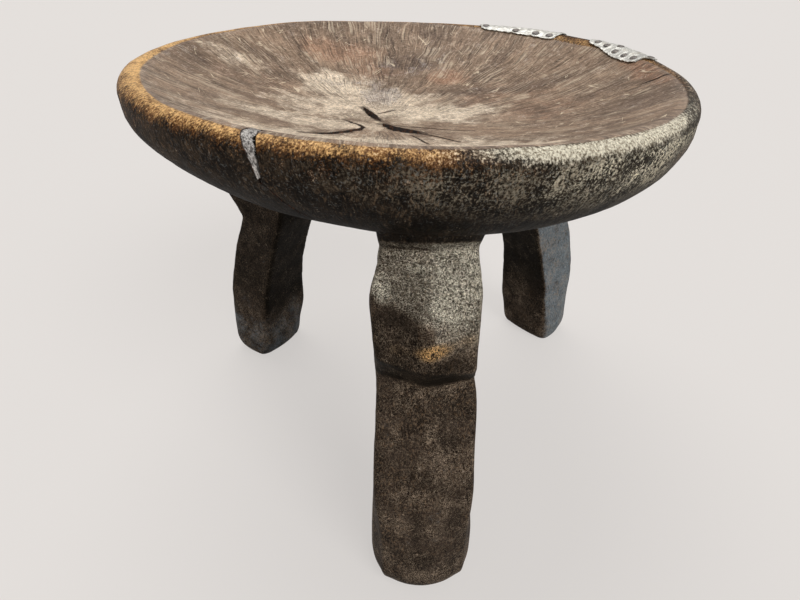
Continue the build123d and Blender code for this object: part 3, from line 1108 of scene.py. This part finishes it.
def oldWood():
    paint = Paint("oldWood")
    place = paint.place()
    isLeg, pale, red, dark = paint.zone("zonesA")
    gold, crestHighlight, blue, wound = paint.zone("zonesB")
    dish, low, greyAndLit, belt = paint.zone("zonesC")
    dishColour, dishHeight, dishGloss = dishSide(paint, place, pale, red, dark, blue)
    outColour, outHeight, fibre = outerSide(paint, place, low, greyAndLit, dark, blue, isLeg, gold)
    rimColour, rimGloss = wornRim(paint, place, fibre, outColour, gold * (1.0 - isLeg), crestHighlight)
    # the border between dish and rim follows the grain
    inside = paint.band(dish + (fibre - 0.5) * 0.5, 0.35, 0.65) * paint.band(dish, 0.02, 0.2)
    colour = paint.mix(inside, rimColour, dishColour)
    nearCrackDark = wound * (0.35 + 0.9 * paint.noise(place, 0.5, 2.0))
    colour = paint.cover(colour, paint.band(nearCrackDark, 0.35, 0.95) * 0.8, "nearCrackDark")
    gloss = paint.mixLevels(inside, rimGloss, dishGloss)
    height = paint.mixLevels(inside, outHeight, dishHeight)
    oiled = paint.band(inside * 0.5 + belt * 0.6, 0.0, 2.0)
    return paint.finish(Base_Color=colour, Roughness=gloss, Normal=paint.bump(height, 0.8, 0.7),
                        Specular_IOR_Level=0.03, Coat_Weight=oiled * 0.5, Coat_Roughness=0.32)


def rays(paint, place, width, length, seed, detail=3.0):
    # noise drawn out into streaks that fan from the pith
    x, y, _ = paint.split(place)
    dx = x - seat["pith"][0]
    dy = y - seat["pith"][1]
    away = (dx * dx + dy * dy + 30.0) ** 0.5
    fan = paint.join(dx / away * width, dy / away * width, away * length + seed)
    return paint.noise(fan, 1.0, detail, 0.6)


def thinRays(paint, place, width, seed):
    # long thin lines that fan from the pith and break off here and there
    line = rays(paint, place, width, 0.010, seed, 1.0)
    patch = paint.noise(paint.shift(place, (seed * 9.0, 0.0, 0.0)), 0.045, 2.0, 0.5)
    return paint.band(abs(line - 0.5), 0.05, 0.014) * paint.band(patch, 0.48, 0.60)


def rimWay(paint, place):
    # millimetres round the rim, millimetres over it from the dish down the side, and height
    x, y, z = paint.split(place)
    away = (x * x + y * y + 1.0) ** 0.5
    return x.angle(0.0 - y) * 160.0, away * 0.7 - z * 0.8, z


def scratches(paint, place, degrees, fine, seed):
    # thin straight scores in one direction
    angle = math.radians(degrees)
    x, y, _ = paint.split(place)
    along = x * math.cos(angle) + y * math.sin(angle)
    across = y * math.cos(angle) - x * math.sin(angle)
    line = paint.noise(paint.join(along * 0.012, across * fine, seed), 1.0, 1.0, 0.4, 0.3)
    patch = paint.noise(paint.join(along * 0.05, across * 0.09, seed + 4.0), 1.0, 2.0)
    return paint.band(abs(line - 0.5), 0.012, 0.0) * paint.band(patch, 0.54, 0.66)


def dishSide(paint, place, pale, red, dark, blue):
    warped = paint.warp(paint.warp(place, place, 0.022, 14.0), place, 0.11, 1.6)
    warped = paint.shift(warped, (-7.8, -7.8, -7.8))
    broad = rays(paint, warped, 7.0, 0.014, 3.0)
    mid = rays(paint, warped, 26.0, 0.03, 8.0, 4.0)
    fine = rays(paint, warped, 95.0, 0.05, 15.0)
    hair = rays(paint, warped, 190.0, 0.09, 25.0, 2.0)
    mottle, cloudy, speck, grain = (paint.noise(place, *sizes) for sizes in (
        (0.11, 4.0, 0.62), (0.04, 4.0, 0.6), (0.6, 3.0, 0.65), (0.45, 4.0, 0.8)))
    # patches of colour, their borders broken up by streaks and mottling: the pale ones worn wood with a
    # painted sheen, the bluish ones a painted reflection
    colour = paint.between(broad, 0.38, 0.62, "dishBrown", "dishTan")
    redder = paint.band(red + (mid - 0.5) * 0.5 + (mottle - 0.5) * 1.3, 0.1, 1.1)
    colour = paint.cover(colour, redder * 0.4, "dishRed")
    darker = paint.band(dark + (mid - 0.5) * 0.5 + (mottle - 0.5) * 1.5, 0.15, 1.0)
    colour = paint.cover(colour, darker * 0.7, "dishDark")
    palerAndSheen = paint.band(pale + (mid - 0.5) * 0.4 + (mottle - 0.5) * 1.5 + (speck - 0.5) * 0.8, 0.0, 1.0)
    colour = paint.cover(colour, palerAndSheen * 0.9, "dishPaleSheen")
    bluer = paint.band(blue + (mottle - 0.5) * 2.2 + (speck - 0.5) * 1.6, 0.2, 0.9)
    colour = paint.cover(colour, bluer * 0.55, "dishBlueReflection")
    shade = 0.96 + 0.3 * (mid - 0.5) + (1.2 + 0.3 * palerAndSheen) * (fine - 0.5 + (hair - 0.5))
    shade = shade + (2.0 + 1.0 * palerAndSheen) * (grain - 0.5) + 0.7 * (mottle - 0.5) + 0.8 * (cloudy - 0.5)
    colour = paint.dim(colour, shade)
    # pale and dark fibres, glints, long rays and scratches
    bare = paint.band(mottle, 0.42, 0.62)
    hairShare = paint.band(hair, 0.58, 0.68) * (0.2 + 0.25 * bare + 0.2 * palerAndSheen)
    colour = paint.cover(colour, hairShare, "hairPale")
    colour = paint.cover(colour, paint.band(fine, 0.42, 0.32) * (0.5 + 0.1 * palerAndSheen), "fineDark")
    glints = paint.band(grain, 0.57, 0.64) * (0.14 + 0.86 * palerAndSheen)
    colour = paint.cover(colour, glints * 0.9, "glint")
    colour = paint.cover(colour, thinRays(paint, warped, 42.0, 41.0) * 0.4, "rayPale")
    colour = paint.cover(colour, thinRays(paint, warped, 48.0, 57.0) * 0.5, "rayDark")
    marks = scratches(paint, place, 58.0, 0.16, 2.0) + scratches(paint, place, 118.0, 0.12, 9.0)
    marks = marks + scratches(paint, place, 14.0, 0.14, 19.0) * 0.7
    colour = paint.cover(colour, paint.band(marks, 0.1, 0.9) * 0.8, "scratch")
    height = 0.4 * mid + 0.5 * fine + 0.3 * speck - 0.25 * marks
    gloss = 0.48 - 0.14 * palerAndSheen + 0.5 * (fine - 0.5) + 0.3 * (mottle - 0.5)
    return colour, height, gloss


def outerSide(paint, place, low, greyAndLit, dark, blue, isLeg, gold):
    offLeg = 1.0 - isLeg
    lean = paint.noise(place, 0.05, 2.0)
    bend = paint.warp(place, place, 0.09, 6.0)
    # fibres run round the rim and down the belly, and up and down the legs
    along, over, z = rimWay(paint, bend)
    fibre = paint.noise(paint.join(along * 0.5, over * 0.3, z * 0.08), 1.0, 4.0, 0.72)
    hair = paint.noise(paint.join(along * 0.95, over * 0.5, z * 0.12 + 7.0), 1.0, 3.0, 0.7)
    legFibre = paint.noise(paint.stretch(bend, (0.55, 0.55, 0.22)), 1.0, 4.0, 0.7)
    legHair = paint.noise(paint.stretch(bend, (1.0, 1.0, 0.45)), 1.0, 3.0, 0.68)
    fibre = fibre + (legFibre - fibre) * isLeg
    hair = hair + (legHair - hair) * isLeg
    curl = paint.noise(place, 0.27, 2.0, 0.55, 2.2)
    curlSmall = paint.noise(place, 0.5, 3.0, 0.6, 1.6)
    mottle = paint.noise(place, 0.07, 4.0, 0.6)
    grain = paint.noise(place, 0.78, 3.0, 0.75)
    squiggle = paint.band(abs(curl - 0.5), 0.026, 0.006)
    squiggle = squiggle + paint.band(abs(curlSmall - 0.5), 0.028, 0.006) * 0.8
    belly = paint.between(mottle, 0.38, 0.62, "bellyDark", "bellyBrown")
    # on the belly's right the specks turn pale: partly the wood's own specks, partly painted light
    clustered = grain * 0.6 + curlSmall * 0.3 + hair * 0.2 + (mottle - 0.5) * 0.3
    speckled = paint.between(clustered, 0.53, 0.63, "speckDark", "speckPale")
    belly = paint.mix(greyAndLit * 0.85, belly, speckled)
    post = paint.between(mottle, 0.38, 0.64, "postDark", "postBrown")
    # painted light on the front knee's upper and right facets and its gleams
    post = paint.cover(post, greyAndLit, "postLitGrey")
    colour = paint.mix(isLeg, belly, post)
    # painted reflection on the rear-right leg, and a bluish tone on the rear-left foot
    bluer = paint.band(blue + (mottle - 0.5) * 1.4 + (curl - 0.5) * 0.8, 0.2, 0.9)
    colour = paint.cover(colour, bluer * isLeg * 0.85, "legBlue")
    colour = paint.cover(colour, low * 0.75 * offLeg, "shadow")
    # on the legs, painted shade, partly their own dark patina: inner faces, undersides, the rear-left leg
    # and the front knee's shaded facets
    colour = paint.cover(colour, dark * isLeg * 0.97, "stain")
    shade = 1.0 + 2.0 * (fibre - 0.5) + 2.6 * (hair - 0.5) + 2.6 * (grain - 0.5)
    colour = paint.dim(colour, shade.atLeast(0.1))
    # flecks along the fibres, strokes on the legs, specks on the belly; where painted light lies the flecks
    # turn greyish and the strokes pale, as painted highlights
    flecks = paint.band(hair, 0.54, 0.66) * (1.0 - 0.7 * low) * paint.band(lean, 0.3, 0.6)
    fleckTone = paint.mix(greyAndLit, tone("fleckBrown"), tone("fleckLitGrey"))
    fleckShare = (0.35 + 0.45 * greyAndLit + 0.2 * isLeg) * (1.0 - dark * isLeg)
    colour = paint.mix(flecks * fleckShare, colour, fleckTone)
    clusters = paint.band(paint.noise(place, 0.06, 3.0, 0.6), 0.42, 0.66)
    strokes = squiggle * isLeg * (0.34 + 0.44 * clusters + 0.6 * greyAndLit + 0.5 * gold)
    strokeTone = paint.between(greyAndLit, 0.0, 0.5, "strokeBrown", "strokeHighlight")
    strokeTone = paint.cover(strokeTone, paint.band(gold, 0.1, 0.8), "strokeGold")
    colour = paint.mix(paint.band(strokes, 0.0, 1.0) * (1.0 - 0.8 * dark), colour, strokeTone)
    specks = paint.band(curlSmall, 0.58, 0.66) * offLeg * (1.0 - 0.6 * low)
    colour = paint.cover(colour, specks * (0.3 + 0.3 * greyAndLit), "curlGrey")
    height = 0.6 * fibre + 0.35 * hair + 0.3 * curl
    return colour, height, fibre


def wornRim(paint, place, fibre, under, gold, crestHighlight):
    along, over, z = rimWay(paint, place)
    strand = paint.noise(paint.join(along * 0.95, over * 0.5, z * 0.1 + 31.0), 1.0, 4.0, 0.75)
    grit = paint.noise(place, 0.9, 3.0, 0.65)
    patch = paint.noise(place, 0.12, 3.0, 0.6)
    level = strand * 0.5 + grit * 0.5
    broken = (strand - 0.5) * 1.1 + (grit - 0.5) * 0.9 + (patch - 0.5) * 0.8
    golden = paint.band(gold * 0.85 + broken, 0.2, 0.85)
    # the painted highlight line along the crest
    highlighted = paint.band(crestHighlight * 0.9 + broken, 0.2, 0.8)
    # the gold's deep tone is the worn wood, its light tone painted highlights, brighter towards the crest
    goldTone = paint.between(level + (gold - 0.75) * 0.3, 0.39, 0.66, "goldDeep", "goldHighlight")
    highlightTone = paint.between(level + (crestHighlight - 0.6) * 0.06, 0.38, 0.64, "highlightDeep", "highlightPale")
    colour = paint.mix(golden * 0.9, under, goldTone)
    colour = paint.mix(highlighted * 0.92, colour, highlightTone)
    gloss = 0.58 - 0.12 * golden - 0.16 * highlighted + 0.4 * (fibre - 0.5)
    return colour, gloss


def woundWood():
    paint = Paint("crackWood")
    fibre = paint.noise(paint.stretch(paint.place(), (0.7, 0.7, 0.25)), 1.0, 4.0)
    colour = paint.between(fibre, 0.45, 0.7, "crackDark", "crackBrown")
    return paint.finish(Base_Color=colour, Roughness=0.75, Normal=paint.bump(fibre, 0.8, 0.4))


def beatenSheet():
    paint = Paint("beatenSheet")
    place = paint.place()
    cloudy = paint.noise(place, 0.25, 4.0, 0.6)
    fine = paint.noise(place, 1.4, 3.0, 0.6)
    stain = paint.noise(place, 0.12, 3.0, 0.6)
    colour = paint.between(cloudy, 0.35, 0.65, "sheetGrey", "sheetPale")
    colour = paint.cover(colour, paint.band(stain, 0.56, 0.72) * 0.5, "sheetStain")
    gloss = 0.42 + 0.25 * (fine - 0.5) + 0.2 * paint.band(stain, 0.5, 0.7)
    height = 0.6 * cloudy + 0.4 * fine
    return paint.finish(Base_Color=colour, Roughness=gloss, Metallic=0.55,
                        Normal=paint.bump(height, 0.6, 0.35))


def oldNail():
    paint = Paint("oldNail")
    rust = paint.noise(paint.place(), 0.9, 4.0, 0.65)
    colour = paint.between(rust, 0.4, 0.68, "nailGrey", "nailBrown")
    gloss = 0.45 + 0.3 * (rust - 0.5)
    return paint.finish(Base_Color=colour, Roughness=gloss, Metallic=0.5, Normal=paint.bump(rust, 0.5, 0.2))


def greyFiller():
    paint = Paint("greyFiller")
    place = paint.place()
    x, y, z = paint.split(place)
    slant = paint.join(x * 0.8 + z * 0.5, y * 0.8 + z * 0.2, z * 0.25 - x * 0.3)
    strand = paint.noise(slant, 1.1, 4.0, 0.65)
    blotch = paint.noise(place, 0.22, 3.0)
    colour = paint.between(strand, 0.38, 0.66, "fillerDark", "fillerPale")
    colour = paint.cover(colour, paint.band(blotch, 0.5, 0.7) * 0.55, "fillerBrown")
    gloss = 0.5 + 0.2 * (strand - 0.5)
    return paint.finish(Base_Color=colour, Roughness=gloss, Normal=paint.bump(strand, 0.8, 0.5))


def setFloor(pale):
    bpy.ops.mesh.primitive_plane_add(size=14, location=(0, 0, 0))
    floor = bpy.context.object
    floor.name = "floor"
    floor.data.transform(Matrix.Translation((0, 0, -0.0003)))
    paint = Paint("paleFloor")
    cameraRay, glossyRay = (paint.node("ShaderNodeLightPath", {}, {}, "Is %s Ray" % kind)
                            for kind in ("Camera", "Glossy"))
    matt = paint.node("ShaderNodeBsdfPrincipled", {}, {"Base Color": pale, "Roughness": 0.9})
    glow = paint.node("ShaderNodeEmission", {}, {"Color": pale, "Strength": 1.0})
    share = cameraRay.atLeast(glossyRay) * 0.72
    floor.data.materials.append(paint.surface(
        paint.node("ShaderNodeMixShader", {}, {0: share, 1: matt, 2: glow})))


def setWorld(pale):
    world = bpy.context.scene.world or bpy.data.worlds.new("world")
    bpy.context.scene.world = world
    world.use_nodes = True
    nodes, links = world.node_tree.nodes, world.node_tree.links
    lamp = nodes["Background"]
    lamp.inputs["Color"].default_value = pale
    lamp.inputs["Strength"].default_value = 0.36
    backdrop = nodes.new("ShaderNodeBackground")
    backdrop.inputs["Color"].default_value = pale
    path = nodes.new("ShaderNodeLightPath")
    blend = nodes.new("ShaderNodeMixShader")
    either = nodes.new("ShaderNodeMath")
    either.operation = "MAXIMUM"
    for start, end in ((path.outputs["Is Camera Ray"], either.inputs[0]),
                       (path.outputs["Is Glossy Ray"], either.inputs[1]),
                       (either.outputs[0], blend.inputs[0]), (lamp.outputs[0], blend.inputs[1]),
                       (backdrop.outputs[0], blend.inputs[2]),
                       (blend.outputs[0], nodes["World Output"].inputs["Surface"])):
        links.new(start, end)


def setStage():
    setFloor(tone("floor"))
    setWorld(tone("floor"))
    sun("keyLamp", (0.45, -0.75, 0.8), 1.5, 30, (1.0, 0.99, 0.97))
    sun("topLamp", (-0.1, 0.35, 1.0), 1.4, 40, (1.0, 0.98, 0.95))
    bpy.context.scene.view_settings.view_transform = "Standard"


def own(piece, node, material=None):
    if material:
        piece.data.materials.clear()
        piece.data.materials.append(material)
    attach(piece, "root")
    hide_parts(node)
    points = readPoints(piece) / mm
    print(piece.name, len(piece.data.vertices), points.min(axis=0).round(2), points.max(axis=0).round(2))


placeCamera()
setStage()
print("stage set")
body = makeBody(oldWood(), woundWood())
paintZones(body)
own(body, "stool_body")
print("body done")
tree = surfaceTree(body)
track = rimTrack()
sheetFinish = beatenSheet()
for side, sizes in strips.items():
    own(makeStrip("strip_" + side, sizes, tree, track), "rim_strip_" + side, sheetFinish)
own(makeNails(tree, track), "strip_nails", oldNail())
print("strips and nails done")
own(makeFiller(track), "crack_filler", greyFiller())
print("filler done")
